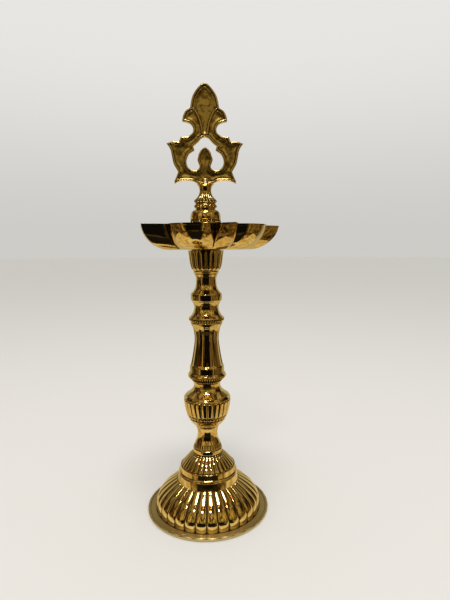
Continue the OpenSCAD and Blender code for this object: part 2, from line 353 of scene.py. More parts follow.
def teeth(across, zone):
    """Depth and residue of pointed teeth in a zone of the casting."""
    side = np.abs(2 * across)
    return 1.5 * zone * side ** 1.4, zone * smoothstep(0.35, 0.75, side)


def bell_relief(angle, height, radius):
    """Thirty broad ribs with small rounded toes, from just over the flange up to the deck."""
    across = rib_place(angle, 30, BELL_VALLEY)
    toe = 0.6 * np.clip(1 - (height - 2.5) / 0.9, 0, 1)
    zone = smoothstep(2.25, 2.5, height) * smoothstep(33, 34.2, radius)
    shape = round_rib(across, toe)
    notch = valley_mark(across, 0.10)
    return zone * radius * (0.021 * shape + 0.006 * notch), zone * np.clip(notch + 0.5 * toe * toe, 0, 1)


def dome_relief(angle, height, radius):
    """Twenty-eight ribs over the crown and a ring of beads round its top."""
    across = rib_place(angle, 28, DOME_VALLEY)
    foot = 0.6 * np.clip(1 - (height - 16.9) / 0.8, 0, 1)
    top = np.clip(1 - (radius - 17.6) / 1.6, 0, 1)
    zone = smoothstep(16.4, 16.7, height) * smoothstep(17.2, 17.6, radius)
    notch = valley_mark(across, 0.12)
    beads = band(radius, 15.2, 17.1, 0.2) * smoothstep(26, 27, height)
    bead = np.sqrt(np.minimum((2 * across) ** 2 + ((radius - 16.3) / 1.0) ** 2, 1))
    depth = zone * radius * (0.026 * round_rib(across, np.maximum(foot, top)) + 0.004 * notch)
    return depth + 0.55 * beads * bead ** 2, zone * notch + beads * smoothstep(0.7, 1, bead)


def neck_relief(angle, height, radius):
    """Thirty short ribs on the flare above the ring."""
    across = rib_place(angle, 30, FRONT)
    foot = np.clip(1 - (height - 5.6) / 0.9, 0, 1)
    top = np.clip((height - 9.0) / 2.2, 0, 1)
    zone = band(height, 5.5, 11.0, 0.2)
    depth = 0.5 * zone * round_rib(across, np.maximum(foot, top))
    return depth * (1 - top), zone * valley_mark(across, 0.15) * (1 - top)


def bulb_relief(angle, height, radius):
    """Twenty-four ribs under the shoulder and a beaded band at their lower ends."""
    across = rib_place(angle, 24, FRONT)
    top = np.clip((height - 31.2) / 2.0, 0, 1)
    foot = np.clip(1 - (height - 15.4) / 1.6, 0, 1)
    zone = band(height, 15.3, 33.3, 0.2)
    notch = valley_mark(across, 0.12)
    depth = zone * radius * (0.038 * round_rib(across, np.maximum(top, foot)) + 0.010 * notch)
    bead_across = rib_place(angle, 32, FRONT)
    bead = np.sqrt(np.minimum((2 * bead_across) ** 2 + ((height - 12.6) / 1.7) ** 2, 1))
    beads = band(height, 10.7, 14.5, 0.2)
    return depth + 0.85 * beads * bead ** 2, 0.7 * zone * notch + beads * smoothstep(0.7, 1, bead)


def column_relief(angle, height, radius):
    """Sixteen shallow flutes between sharp arrises, and teeth on the underside of the lip."""
    across = rib_place(angle, 16, COLUMN_ARRIS)
    hollow = np.cos(math.pi * across)
    top = arch(np.maximum(height - 61.5, 0) / 3.5)
    foot = arch(np.minimum(height - 24.8, 0) / 1.4)
    zone = band(height, 23.3, 65.2, 0.1)
    depth = zone * 0.62 * np.clip(hollow * top * foot, 0, 1) ** 0.9
    nicks, residue = teeth(rib_place(angle, 48, COLUMN_ARRIS), band(height, 6.0, 11.8, 0.3))
    return depth + nicks, residue


def upper_relief(angle, height, radius):
    """Teeth round the lower half of the bottom ring."""
    return teeth(rib_place(angle, 40, FRONT), band(height, 0.5, 4.3, 0.3))


def cup_relief(angle, height, radius):
    """Sixteen petals that fade out towards the bowl, with round lower ends."""
    across = rib_place(angle, 16, FRONT)
    foot = np.clip(1 - (height - 1.8) / 3.2, 0, 1)
    fade = 1 - 0.8 * smoothstep(18, 24, height)
    zone = smoothstep(1.6, 1.8, height)
    notch = valley_mark(across, 0.12)
    depth = zone * fade * (1.15 * round_rib(across, foot) + 0.25 * notch)
    return depth, zone * fade * notch


def collar_relief(angle, height, radius):
    """A row of beads round the collar's ring."""
    across = rib_place(angle, 40, FRONT)
    beads = band(height, 25.4, 28.4, 0.2)
    bead = np.minimum((2 * across) ** 2 + ((height - 26.9) / 1.3) ** 2, 1)
    return 0.8 * beads * bead, beads * smoothstep(0.25, 0.7, bead)


def foot_relief(angle, height, radius):
    """Fine ribs up the neck under the plate, and the same ribs as beads round both rings."""
    across = rib_place(angle, 20, FRONT)
    ribs = band(height, 7.4, 17.5, 0.5)
    fade = 1 - 0.7 * smoothstep(12, 17.5, height)
    beads = band(height, 0.6, 2.6, 0.4) + band(height, 5.6, 7.0, 0.3)
    depth = 0.8 * ribs * fade * round_rib(across) + 1.0 * beads * (2 * across) ** 2
    return depth, np.maximum(ribs * fade, beads) * smoothstep(0.4, 0.85, np.abs(2 * across))


def thread_relief(pitch):
    """A relief that cuts a rounded screw thread of this pitch all along a rod."""
    def relief(angle, height, radius):
        turns = height / pitch - angle / 360
        across = np.abs(2 * (turns - np.floor(turns)) - 1)
        depth = 0.54 * pitch * smoothstep(0.1, 1, across) * smoothstep(0, 0.6, radius - 1)
        return depth, smoothstep(0.7, 1, across)
    return relief


# ---- Bowl ----

SPOUTS = 5
SECTOR = 360 / SPOUTS
FIRST_SPOUT = 2.6
SPOUT_HALF = 11.7
# Radii of the rim in mm, and the size of the bowl's flat bottom as a share of its rim
TIP_R, CREASE_R, LOBE_R = 78.5, 58.0, 68.0
FLOOR_SHARE = 0.6
# How full the wall is between bottom and rim: 2 would be a quarter of an ellipse
WALL_POWER = 1.8
# Thickness of the wall, and how much thicker it is along a radius at the tips and at the creases
BOWL_WALL = 1.8
TIP_WALL, CREASE_WALL = 2.1, 1.3
BOWL_BORE_R = 4.05
# The lip stands proud of the wall by LIP_STEP down to LIP_BAND below the rim, and fades out over LIP_FADE
LIP_BAND = 2.3
LIP_STEP = 0.28
LIP_FADE = 0.5
# Degrees on each side of a crease that hold residue
CREASE_HALF = 1.6
# Columns in half a spout and in a lobe, and rows up the wall
SPOUT_COLUMNS, LOBE_COLUMNS = 22, 64
WALL_ROWS = 84
# Rows across the bottom, as shares of the way from the bore to the wall, and across the lip's top
FLOOR_ROWS = (0, 0.08, 0.18, 0.3, 0.44, 0.58, 0.72, 0.86, 0.96)
LIP_ROWS = (0.12, 0.3, 0.5, 0.7, 0.88)


def from_spout(angle):
    """Degrees between an angle and the middle of the nearest spout."""
    return np.abs((angle - FIRST_SPOUT + SECTOR / 2) % SECTOR - SECTOR / 2)


def lobe_radius(angle, middle, edge):
    """Radius of a round lobe at an angle from its middle: an arc through its middle and both creases."""
    half = math.radians(SECTOR / 2 - SPOUT_HALF)
    chord = edge * math.sin(half)
    rise = middle - edge * math.cos(half)
    arc = (chord ** 2 + rise ** 2) / (2 * rise)
    centre = middle - arc
    turn = np.radians(angle)
    return centre * np.cos(turn) + np.sqrt(arc ** 2 - (centre * np.sin(turn)) ** 2)


def bowl_outline(angle, tip, edge, middle):
    """Radius of the bowl's outline, in mm, at angles about the stem."""
    a = from_spout(angle)
    spout = tip - (tip - edge) * a / SPOUT_HALF
    return np.where(a <= SPOUT_HALF, spout, lobe_radius(SECTOR / 2 - a, middle, edge))


def bowl_angles():
    """Angles round the bowl, gathered towards the tips and the creases."""
    ease = lambda n: 0.5 - 0.5 * np.cos(math.pi * np.arange(n) / n)
    spout = SPOUT_HALF * ease(SPOUT_COLUMNS)
    lobe = SPOUT_HALF + (SECTOR - 2 * SPOUT_HALF) * ease(LOBE_COLUMNS)
    back = SECTOR - SPOUT_HALF + SPOUT_HALF * ease(SPOUT_COLUMNS)
    one = np.concatenate([spout, lobe, back])
    return FIRST_SPOUT + (np.arange(SPOUTS)[:, None] * SECTOR + one[None, :]).ravel()


def bowl_wall(angle, heights, low, depth, tip, edge, middle):
    """Rows of points up one face of the bowl's wall, in mm."""
    spread = (1 - (1 - heights) ** WALL_POWER) ** (1 / WALL_POWER)
    share = FLOOR_SHARE + (1 - FLOOR_SHARE) * spread
    radius = bowl_outline(angle, tip, edge, middle)[None, :] * share[:, None]
    turn = np.radians(angle)[None, :]
    z = np.broadcast_to((low + depth * heights)[:, None], radius.shape)
    return np.stack([radius * np.cos(turn), radius * np.sin(turn), z], axis=2)


def bowl_piece(material):
    """The oil bowl: bottom, scalloped wall with a proud lip, and the creases between spouts and lobes."""
    low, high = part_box("bowl")
    base, depth = low.z / MM, (high.z - low.z) / MM
    angle = bowl_angles()
    rise = (0.5 - 0.5 * np.cos(math.pi * np.linspace(0, 1, WALL_ROWS))) ** 1.25
    outer = bowl_wall(angle, rise, base, depth, TIP_R, CREASE_R, LOBE_R)
    inner = bowl_wall(angle, rise, base + BOWL_WALL, depth - BOWL_WALL, TIP_R - TIP_WALL * BOWL_WALL,
                      CREASE_R - CREASE_WALL * BOWL_WALL, LOBE_R - BOWL_WALL)
    turn = np.radians(angle)
    ring = np.stack([np.cos(turn), np.sin(turn), np.zeros_like(turn)], axis=1)
    part = np.array(FLOOR_ROWS)[:, None]
    edges = [np.hypot(face[0, :, 0], face[0, :, 1])[None] for face in (outer, inner)]
    proud = smoothstep(LIP_BAND, LIP_BAND - LIP_FADE, depth * (1 - rise))
    outward = outer[:, :, :2] / np.linalg.norm(outer[:, :, :2], axis=2)[:, :, None]
    step = LIP_STEP * (1 - proud) * smoothstep(0, 0.08, rise)
    outer[:, :, :2] -= step[:, None, None] * outward
    under, over = [ring[None] * (BOWL_BORE_R + (edge - BOWL_BORE_R) * part)[:, :, None] for edge in edges]
    under = under + np.array([0, 0, base])
    over = over[::-1] + np.array([0, 0, base + BOWL_WALL])
    lip = np.array([outer[-1] + (inner[-1] - outer[-1]) * t for t in LIP_ROWS])
    points = np.concatenate([under, outer, lip, inner[::-1], over]) * MM
    crease = 1 - smoothstep(0, CREASE_HALF, np.abs(from_spout(angle) - SPOUT_HALF))
    bottom = np.zeros(len(FLOOR_ROWS))
    level = np.concatenate([bottom, rise, np.ones(len(lip)), rise[::-1], bottom])
    crevice = crease[None, :] * smoothstep(0.02, 0.15, level)[:, None]
    piece = grid_piece("bowl_casting", points, True, attributes={"crevice": crevice})
    return settle(piece, "bowl", "bowl", material)


# ---- Nut ----

NUT_COLUMNS = 96
NUT_PITCH = 1.5
NUT_THREAD_DEPTH = 0.45
NUT_THREAD_ROWS = 60
NUT_BORE_R = 5.07
NUT_BORE_CHAMFER = 0.6
# Radius of the end faces, as a share of half the width across the flats
NUT_FACE_SHARE = 0.94
# Rows lie NUT_END_STEP apart from each end up to NUT_END, and the sides' rows start at NUT_SIDE
NUT_END, NUT_END_STEP, NUT_SIDE = 2.4, 0.4, 2.6
# How much oil and rust the thread holds
NUT_RESIDUE = 0.6


def nut_piece(material):
    """A hexagon nut with chamfered corners and a threaded bore."""
    low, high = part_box("base_nut")
    wide, deep, tall = ((b - a) / MM for a, b in zip(low, high))
    flat = min(wide, deep) / 2
    corner_at = 0 if wide > deep else 30
    angle = 360 / NUT_COLUMNS * np.arange(NUT_COLUMNS)
    corner = flat / np.cos(np.radians((angle - corner_at) % 60 - 30))
    face_r = NUT_FACE_SHARE * flat
    rows = []
    ends = np.arange(0, NUT_END, NUT_END_STEP)
    sides = np.linspace(NUT_SIDE, tall - NUT_SIDE, 4)
    for z in np.concatenate([ends, sides, tall - ends[::-1]]):
        chamfer = face_r + min(z, tall - z) * math.sqrt(3)
        rows.append((np.minimum(corner, chamfer), z))
    face = [face_r - (face_r - NUT_BORE_R - NUT_BORE_CHAMFER) * t for t in (0.35, 0.7, 1.0)]
    rows += [(np.full(NUT_COLUMNS, r), tall) for r in face]
    for z in np.linspace(tall - NUT_BORE_CHAMFER, NUT_BORE_CHAMFER, NUT_THREAD_ROWS):
        across = np.abs(2 * ((z / NUT_PITCH - angle / 360) % 1) - 1)
        rows.append((NUT_BORE_R + NUT_THREAD_DEPTH * smoothstep(0.1, 1, across), z))
    rows += [(np.full(NUT_COLUMNS, r), 0) for r in face[::-1]]
    radius = np.array([r for r, z in rows])
    height = np.array([[low.z / MM + z] for r, z in rows])
    turn = np.radians(angle)
    points = np.stack([radius * np.cos(turn), radius * np.sin(turn), height + 0 * radius], axis=2) * MM
    crevice = np.zeros(radius.shape)
    crevice[-NUT_THREAD_ROWS - len(face):-len(face)] = NUT_RESIDUE
    piece = grid_piece("base_nut_turned", points, True, attributes={"crevice": crevice})
    return settle(piece, "base_nut", "nut", material)


# ---- Finial plate ----

PLATE_TOP = 457.0
# Spacing of the points along the outlines and over the fields, and the rows of points inside the outlines
OUTLINE_STEP = 0.5
PLATE_GRID = 0.62
BORDER_ROWS = (0.25, 0.55, 0.9, 1.3, 1.7, 2.05, 2.45)
# The raised line down one side of the upper leaf: distance from the middle, and height over the plate's tip
VEIN = [(14.6, -25.2), (12.6, -25.4), (10.2, -27.2), (6.6, -33.5), (4.6, -39.5), (3.4, -45), (2.7, -50.5)]
VEIN_HALF = 1.05
# The bead under the upper leaf, its half width and half height, and the top of the bud
BEAD_Z = -51.2
BEAD_HALF = (2.3, 1.7)
BUD_TOP = -62.0
# The plate is nowhere thinner than twice this
LEAST_HALF = 0.6
TENON_R = 3.0
TENON_CHAMFER = 0.5
TENON_SIDES = 48


def plate_loops():
    """The plate's outline and its opening, as rows of (x, z) points in mm, from the CAD node's front face.

    Also half of the plate's thickness."""
    bm = bmesh.new()
    bm.from_mesh(frame["nodes"]["finial_plate"].data)
    bmesh.ops.remove_doubles(bm, verts=bm.verts, dist=WELD)
    facing = [f for f in bm.faces if f.normal.y < -0.999]
    front = max(facing, key=lambda f: f.calc_area()).calc_center_median().y
    flat = {f for f in facing if all(abs(v.co.y - front) < 10 * WELD for v in f.verts)}
    links = {}
    for face in flat:
        for edge in face.edges:
            if sum(f in flat for f in edge.link_faces) == 1:
                a, b = edge.verts
                links.setdefault(a.index, []).append(b.index)
                links.setdefault(b.index, []).append(a.index)
    place = {v.index: (v.co.x / MM, v.co.z / MM) for v in bm.verts}
    bm.free()
    loops, left = [], set(links)
    while left:
        here = min(left)
        loop = []
        while here in left:
            left.discard(here)
            loop.append(place[here])
            here = next((k for k in links[here] if k in left), -1)
        loops.append(np.array(loop))
    return sorted(loops, key=len, reverse=True), -front / MM


def even_loop(points):
    """The closed row of points, made smooth between its corners and spaced about OUTLINE_STEP apart."""
    dense = fair_curve(points, True, 40, OUTLINE_STEP / 8)
    ring = np.vstack([dense, dense[:1]])
    length = along_curve(ring)
    even = np.linspace(0, length[-1], int(length[-1] / OUTLINE_STEP), endpoint=False)
    return np.c_[np.interp(even, length, ring[:, 0]), np.interp(even, length, ring[:, 1])]


def distance_to(points, loops):
    """Distance of each point to the nearest of the loops' segments."""
    best = np.full(len(points), 1e9)
    for loop in loops:
        a, b = loop, np.roll(loop, -1, axis=0)
        d = b - a
        for i in range(len(a)):
            t = np.clip(((points - a[i]) @ d[i]) / (d[i] @ d[i] + 1e-12), 0, 1)
            best = np.minimum(best, np.linalg.norm(points - a[i] - t[:, None] * d[i], axis=1))
    return best


def inside(points, loop):
    """Whether each point lies inside the closed loop."""
    x, z = points[:, 0], points[:, 1]
    hit = np.zeros(len(points), bool)
    for (x0, z0), (x1, z1) in zip(loop, np.roll(loop, -1, axis=0)):
        crosses = (z0 > z) != (z1 > z)
        at = x0 + (z - z0) * (x1 - x0) / (z1 - z0 + 1e-15)
        hit ^= crosses & (x < at)
    return hit


def plate_height(points, edge, half):
    """Height of the plate's face over its middle plane, in mm, and distance to the nearest raised line.

    The face has a rounded border with a groove inside it, dished fields, the raised lines of the leaves and a
    bead under the upper leaf. edge is each point's distance to the outline."""
    border = half - 1.5 * (1 - arch((edge - 1.15) / 1.3))
    field = half - 1.35 - 0.55 * smoothstep(2.6, 6.5, edge) - 0.45 * band(edge, 2.25, 2.5, 0.4)
    x, z = np.abs(points[:, 0]), points[:, 1] - PLATE_TOP
    line = np.full(len(points), 1e9)
    vein = catmull(VEIN, OUTLINE_STEP)
    for a, b in zip(vein[:-1], vein[1:]):
        d = b - a
        t = np.clip(((x - a[0]) * d[0] + (z - a[1]) * d[1]) / (d @ d), 0, 1)
        line = np.minimum(line, np.hypot(x - a[0] - t * d[0], z - a[1] - t * d[1]))
    ridge = half - 0.15 - 1.3 * (1 - arch(line / VEIN_HALF))
    groove = 0.45 * band(line, 1.1, 1.4, 0.5)
    spine = 0.55 * np.exp(-(x / 2.2) ** 2) * (z < BUD_TOP)
    inward = np.where(edge > 1.6, np.maximum(border, field), border)
    face = np.where(edge < 2.4, inward, field + spine - groove)
    face = np.where(line < VEIN_HALF, np.maximum(face, ridge), face)
    out = np.hypot(x / BEAD_HALF[0], (z - BEAD_Z) / BEAD_HALF[1])
    bead = half - 0.9 * (1 - arch(out))
    return np.where(out < 1, np.maximum(face, bead), face), line


def plate_face():
    """The plate's face as (x, z) points in mm and triangles, with its outlines and half of its thickness."""
    loops, half = plate_loops()
    loops = [even_loop(loop) for loop in loops]
    loops = [p if turns_left(p) == (k == 0) else p[::-1] for k, p in enumerate(loops)]
    border = []
    for loop in loops:
        along = np.roll(loop, -1, axis=0) - np.roll(loop, 1, axis=0)
        along /= np.linalg.norm(along, axis=1)[:, None]
        inward = np.c_[-along[:, 1], along[:, 0]]
        for row in BORDER_ROWS:
            spots = loop + inward * row
            border.append(spots[distance_to(spots, loops) > row - 0.06])
    holed = lambda points: np.any([inside(points, hole) for hole in loops[1:]], axis=0)
    within = lambda points: inside(points, loops[0]) & ~holed(points)
    xs, zs = (np.arange(loops[0][:, k].min(), loops[0][:, k].max(), step)
              for k, step in enumerate((PLATE_GRID, PLATE_GRID * 0.87)))
    grid = np.array([(x + (k % 2) * PLATE_GRID / 2, z) for k, z in enumerate(zs) for x in xs])
    grid = grid[within(grid)]
    grid = grid[distance_to(grid, loops) > BORDER_ROWS[-1] + 0.3]
    edges, start = [], 0
    for loop in loops:
        n = len(loop)
        edges += [(start + i, start + (i + 1) % n) for i in range(n)]
        start += n
    spots = [Vector(p) for p in np.vstack(loops + border + [grid])]
    made = geometry.delaunay_2d_cdt(spots, edges, [], 0, 1e-5)
    flat = np.array([tuple(v) for v in made[0]])
    faces = [f for f in made[2] if len(f) == 3]
    good = within(flat[np.array(faces)].mean(axis=1))
    return flat, [f for f, g in zip(faces, good) if g], loops, half


def add_tenon(bm):
    """The tenon under the plate, from its lower end to a point just inside the plate's foot."""
    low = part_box("finial_plate")[0].z / MM
    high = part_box("finial_foot")[1].z / MM - 0.2
    rows = [(0, low), (TENON_R - TENON_CHAMFER, low), (TENON_R, low + TENON_CHAMFER), (TENON_R, high),
            (TENON_R / 2, high + 1.5), (0, high + 1.5)]
    rings = [circle(bm, r * MM, z * MM, TENON_SIDES) for r, z in rows]
    for a, b in zip(rings[:-1], rings[1:]):
        for k in range(TENON_SIDES):
            n = (k + 1) % TENON_SIDES
            quad = [a[k % len(a)], a[n % len(a)], b[n % len(b)], b[k % len(b)]]
            bm.faces.new(list(dict.fromkeys(quad)))


def plate_piece(material):
    """The openwork plate: both faces, the edges between them, and the tenon."""
    flat, faces, loops, half = plate_face()
    top = plate_height(flat, distance_to(flat, loops), half)[0]
    top = np.clip(top, LEAST_HALF, half)
    bm = bmesh.new()
    sides = []
    for side in (-1, 1):
        verts = [bm.verts.new((x * MM, side * h * MM, z * MM)) for (x, z), h in zip(flat, top)]
        for face in faces:
            bm.faces.new([verts[i] for i in (face if side < 0 else face[::-1])])
        sides.append(verts)
    directed = dict.fromkeys((a, b) for f in faces for a, b in zip(f, [*f[1:], f[0]]))
    outline = [(a, b) for a, b in directed if (b, a) not in directed]
    columns = {}
    for i in dict.fromkeys(i for pair in outline for i in pair):
        x, z = flat[i]
        between_faces = [bm.verts.new((x * MM, t * top[i] * MM, z * MM)) for t in (-0.6, 0.0, 0.6)]
        columns[i] = [sides[0][i], *between_faces, sides[1][i]]
    for a, b in outline:
        one, two = columns[a], columns[b]
        for k in range(len(one) - 1):
            bm.faces.new([two[k], one[k], one[k + 1], two[k + 1]])
    add_tenon(bm)
    bmesh.ops.recalc_face_normals(bm, faces=bm.faces)
    mesh = bpy.data.meshes.new("finial_plate_casting")
    bm.to_mesh(mesh)
    bm.free()
    spots = np.array([v.co for v in mesh.vertices])[:, [0, 2]] / MM
    near = distance_to(spots, loops)
    line = plate_height(spots, near, half)[1]
    set_attribute(mesh, "field", smoothstep(1.5, 2.4, near) * smoothstep(0.6, 1.1, line))
    beside_line = band(line, 1.1, 1.4, 0.4) * smoothstep(1.2, 2.0, near)
    set_attribute(mesh, "crevice", np.maximum(band(near, 2.2, 2.6, 0.45), beside_line))
    piece = finished("finial_plate_casting", mesh)
    return settle(piece, "finial_plate", "finial", material)


# ---- Materials ----

def add_node(tree, kind, inputs=None, **settings):
    """A shader node with its settings, and its inputs set to values or linked to sockets."""
    made = tree.nodes.new(kind)
    for key, value in settings.items():
        setattr(made, key, value)
    for key, value in (inputs or {}).items():
        if isinstance(value, bpy.types.NodeSocket):
            tree.links.new(value, made.inputs[key])
        else:
            made.inputs[key].default_value = value
    return made


def maths(tree, operation, a, b=0.0, c=0.0):
    return add_node(tree, "ShaderNodeMath", {0: a, 1: b, 2: c}, operation=operation).outputs[0]


def times(tree, a, b, plus=0.0):
    return maths(tree, "MULTIPLY_ADD", a, b, plus)


def away(tree, value, place):
    """How far the value is from place."""
    return maths(tree, "ABSOLUTE", maths(tree, "SUBTRACT", value, place))


def mix_colours(tree, factor, a, b):
    """From colour a to colour b as factor goes from 0 to 1; each is a socket or red, green and blue."""
    a, b = (c if isinstance(c, bpy.types.NodeSocket) else (*c, 1.0) for c in (a, b))
    return add_node(tree, "ShaderNodeMix", {0: factor, 6: a, 7: b}, data_type="RGBA").outputs[2]


def ramp(tree, value, low, high):
    """value mapped smoothly from low..high to 0..1."""
    made = add_node(tree, "ShaderNodeMapRange", {"Value": value, "From Min": low, "From Max": high},
                    interpolation_type="SMOOTHSTEP")
    return made.outputs[0]


def noise(tree, where, scale, detail=3.0, roughness=0.5, distortion=0.0):
    return add_node(tree, "ShaderNodeTexNoise", {"Vector": where, "Scale": scale, "Detail": detail,
                    "Roughness": roughness, "Distortion": distortion}).outputs[0]


def patches(tree, where, low, high, *look):
    """Patches of noise, 0 below low and 1 above high; look is its scale, detail, roughness, distortion."""
    return ramp(tree, noise(tree, where, *look), low, high)


def fine_lines(tree, where, scale, detail, *roughness):
    """Noise with its own scale along each axis."""
    stretched = add_node(tree, "ShaderNodeVectorMath", {0: where, 1: scale}, operation="MULTIPLY").outputs[0]
    return noise(tree, stretched, 1, detail, *roughness)


def attribute(tree, name):
    """A value that the mesh carries, such as how much residue lies at a point."""
    return add_node(tree, "ShaderNodeAttribute", attribute_name=name).outputs["Fac"]


def mirrored(tree):
    """1 where the surface or the backdrop is seen in polished metal, and 0 where it is seen directly."""
    return add_node(tree, "ShaderNodeLightPath").outputs["Is Glossy Ray"]


def new_material(name, metallic=0.0):
    """A material, its node tree, its shader, and the place on the object in metres."""
    material = bpy.data.materials.new(name)
    material.use_nodes = True
    tree = material.node_tree
    tree.nodes.clear()
    shader = add_node(tree, "ShaderNodeBsdfPrincipled", {"Metallic": metallic})
    add_node(tree, "ShaderNodeOutputMaterial", {"Surface": shader.outputs[0]})
    return material, tree, shader, add_node(tree, "ShaderNodeTexCoord").outputs["Object"]


def dress(tree, shader, tone, rough, height, strength, distance):
    """Links colour and roughness to the shader, and a bump of this strength whose heights are in distance."""
    bump = add_node(tree, "ShaderNodeBump", {"Strength": strength, "Distance": distance, "Height": height})
    for key, value in (("Base Color", tone), ("Roughness", rough), ("Normal", bump.outputs[0])):
        tree.links.new(value, shader.inputs[key])


LIGHT_BRASS, DEEP_BRASS = (0.90, 0.69, 0.29), (0.83, 0.60, 0.21)
RESIDUE = (0.03, 0.018, 0.008)
DULL_BRASS, SATIN_BRASS = (0.34, 0.23, 0.09), (0.80, 0.67, 0.34)


def brass(name, deep, smooth, rough, waviness, lathe, satin=0.0):
    """Polished brass: two tones, residue in the crevices, uneven polish, soft waves and turning lines.

    It is dull inside the castings, and dull and paler below the height satin, in metres."""
    material, tree, shader, where = new_material(name, 1.0)
    clouds = noise(tree, where, 38, 4)
    stains = noise(tree, where, 210, 5, 0.65)
    tone = mix_colours(tree, ramp(tree, clouds, 0.35, 0.68), LIGHT_BRASS, deep)
    lodged = times(tree, ramp(tree, attribute(tree, "crevice"), 0.2, 0.8), ramp(tree, stains, 0.12, 0.42))
    spots = patches(tree, where, 0.70, 0.78, 520, 2)
    dark = maths(tree, "MAXIMUM", times(tree, lodged, 0.95), times(tree, spots, 0.35))
    inner = attribute(tree, "inner")
    uneven = times(tree, ramp(tree, stains, 0.35, 0.7), rough - smooth, smooth)
    uneven = times(tree, inner, 0.36, uneven)
    tone = mix_colours(tree, times(tree, inner, times(tree, clouds, 1.0, 0.1)), tone, DULL_BRASS)
    if satin:
        tall = add_node(tree, "ShaderNodeSeparateXYZ", {0: where}).outputs[2]
        dull = ramp(tree, tall, satin + 0.0008, satin)
        uneven = times(tree, dull, 0.34, uneven)
        tone = mix_colours(tree, dull, tone, SATIN_BRASS)
    height = times(tree, noise(tree, where, 80, 1), waviness)
    height = times(tree, noise(tree, where, 330, 1), 0.09 * waviness, height)
    height = times(tree, fine_lines(tree, where, (60, 60, 5200), 2), lathe, height)
    height = times(tree, noise(tree, where, 1400, 3), 0.0008, height)
    tone = mix_colours(tree, dark, tone, RESIDUE)
    dress(tree, shader, tone, times(tree, lodged, 0.35, uneven), height, 1.0, MM)
    return material


def plate_brass():
    """Cast brass: a satin, pitted and blotched field between polished borders."""
    material, tree, shader, where = new_material("cast_brass", 1.0)
    field = attribute(tree, "field")
    clouds = noise(tree, where, 120, 4)
    grain = noise(tree, where, 900, 4, 0.6)
    worn = times(tree, field, 0.85)
    tone = mix_colours(tree, ramp(tree, clouds, 0.35, 0.65), (0.95, 0.74, 0.31), (0.88, 0.65, 0.24))
    tone = mix_colours(tree, worn, tone, (0.80, 0.56, 0.13))
    blotch = patches(tree, where, 0.44, 0.60, 88, 5, 0.66, 1.9)
    tone = mix_colours(tree, times(tree, blotch, worn), tone, (0.21, 0.125, 0.025))
    lodged = times(tree, ramp(tree, attribute(tree, "crevice"), 0.2, 0.8), ramp(tree, grain, 0.15, 0.5))
    tone = mix_colours(tree, times(tree, lodged, 0.95), tone, (0.035, 0.02, 0.008))
    rough = times(tree, lodged, 0.2, times(tree, field, 0.10, 0.20))
    height = times(tree, clouds, 0.22, times(tree, times(tree, grain, field), 0.05))
    dress(tree, shader, tone, rough, height, 1.0, MM)
    return material


def steel():
    """Plain turned steel with a light film of oil and rust in the thread."""
    material, tree, shader, where = new_material("steel_fastener", 1.0)
    stains = patches(tree, where, 0.45, 0.7, 260, 4, 0.6)
    rust = times(tree, stains, times(tree, attribute(tree, "crevice"), 0.6, 0.2))
    tone = mix_colours(tree, rust, (0.56, 0.55, 0.53), (0.22, 0.10, 0.05))
    lines = fine_lines(tree, where, (120, 120, 6000), 2)
    dress(tree, shader, tone, times(tree, rust, 0.45, 0.26), lines, 0.6, 0.02 * MM)
    return material


def fibre():
    """Pressed fibre, dark with oil."""
    material, tree, shader, where = new_material("fibre_seal")
    fibres = fine_lines(tree, where, (1500, 900, 4000), 4, 0.7)
    oil = noise(tree, where, 160, 3)
    tone = mix_colours(tree, fibres, (0.16, 0.08, 0.045), (0.34, 0.19, 0.10))
    tone = mix_colours(tree, ramp(tree, oil, 0.4, 0.65), tone, (0.07, 0.035, 0.02))
    dress(tree, shader, tone, times(tree, oil, -0.4, 0.85), fibres, 0.8, 0.2 * MM)
    return material


# ---- Camera, floor and light ----

def camera():
    data = bpy.data.cameras.new("camera")
    data.lens = 26.83
    data.sensor_width = 36
    data.clip_start = 0.01
    made = bpy.data.objects.new("camera", data)
    made.location = (0, -0.480, 0.2908)
    made.rotation_euler = [math.radians(angle) for angle in (90 - 6.76, 0.24, -2.43)]
    bpy.context.scene.collection.objects.link(made)
    bpy.context.scene.camera = made


# The floor lies this far under the rim, so that the two don't share a plane
FLOOR_DROP = 0.0002
FLOOR_SIDES = 128
NEAR_FLOOR_R, FAR_FLOOR_R = 0.42, 12
# The lights point at this place on the lamp
LIT_POINT = (0, 0, 0.15)


def floor_ring(name, inner, outer, material):
    """A flat ring of floor, or a disc where inner is 0."""
    bm = bmesh.new()
    out = circle(bm, outer, 0, FLOOR_SIDES)
    if inner:
        ring = circle(bm, inner, 0, FLOOR_SIDES)
        for k in range(FLOOR_SIDES):
            n = (k + 1) % FLOOR_SIDES
            bm.faces.new([out[k], out[n], ring[n], ring[k]])
    else:
        bm.faces.new(out)
    mesh = bpy.data.meshes.new(name)
    bm.to_mesh(mesh)
    bm.free()
    mesh.materials.append(material)
    floor = bpy.data.objects.new(name, mesh)
    floor.location.z = -FLOOR_DROP
    bpy.context.scene.collection.objects.link(floor)
    return floor


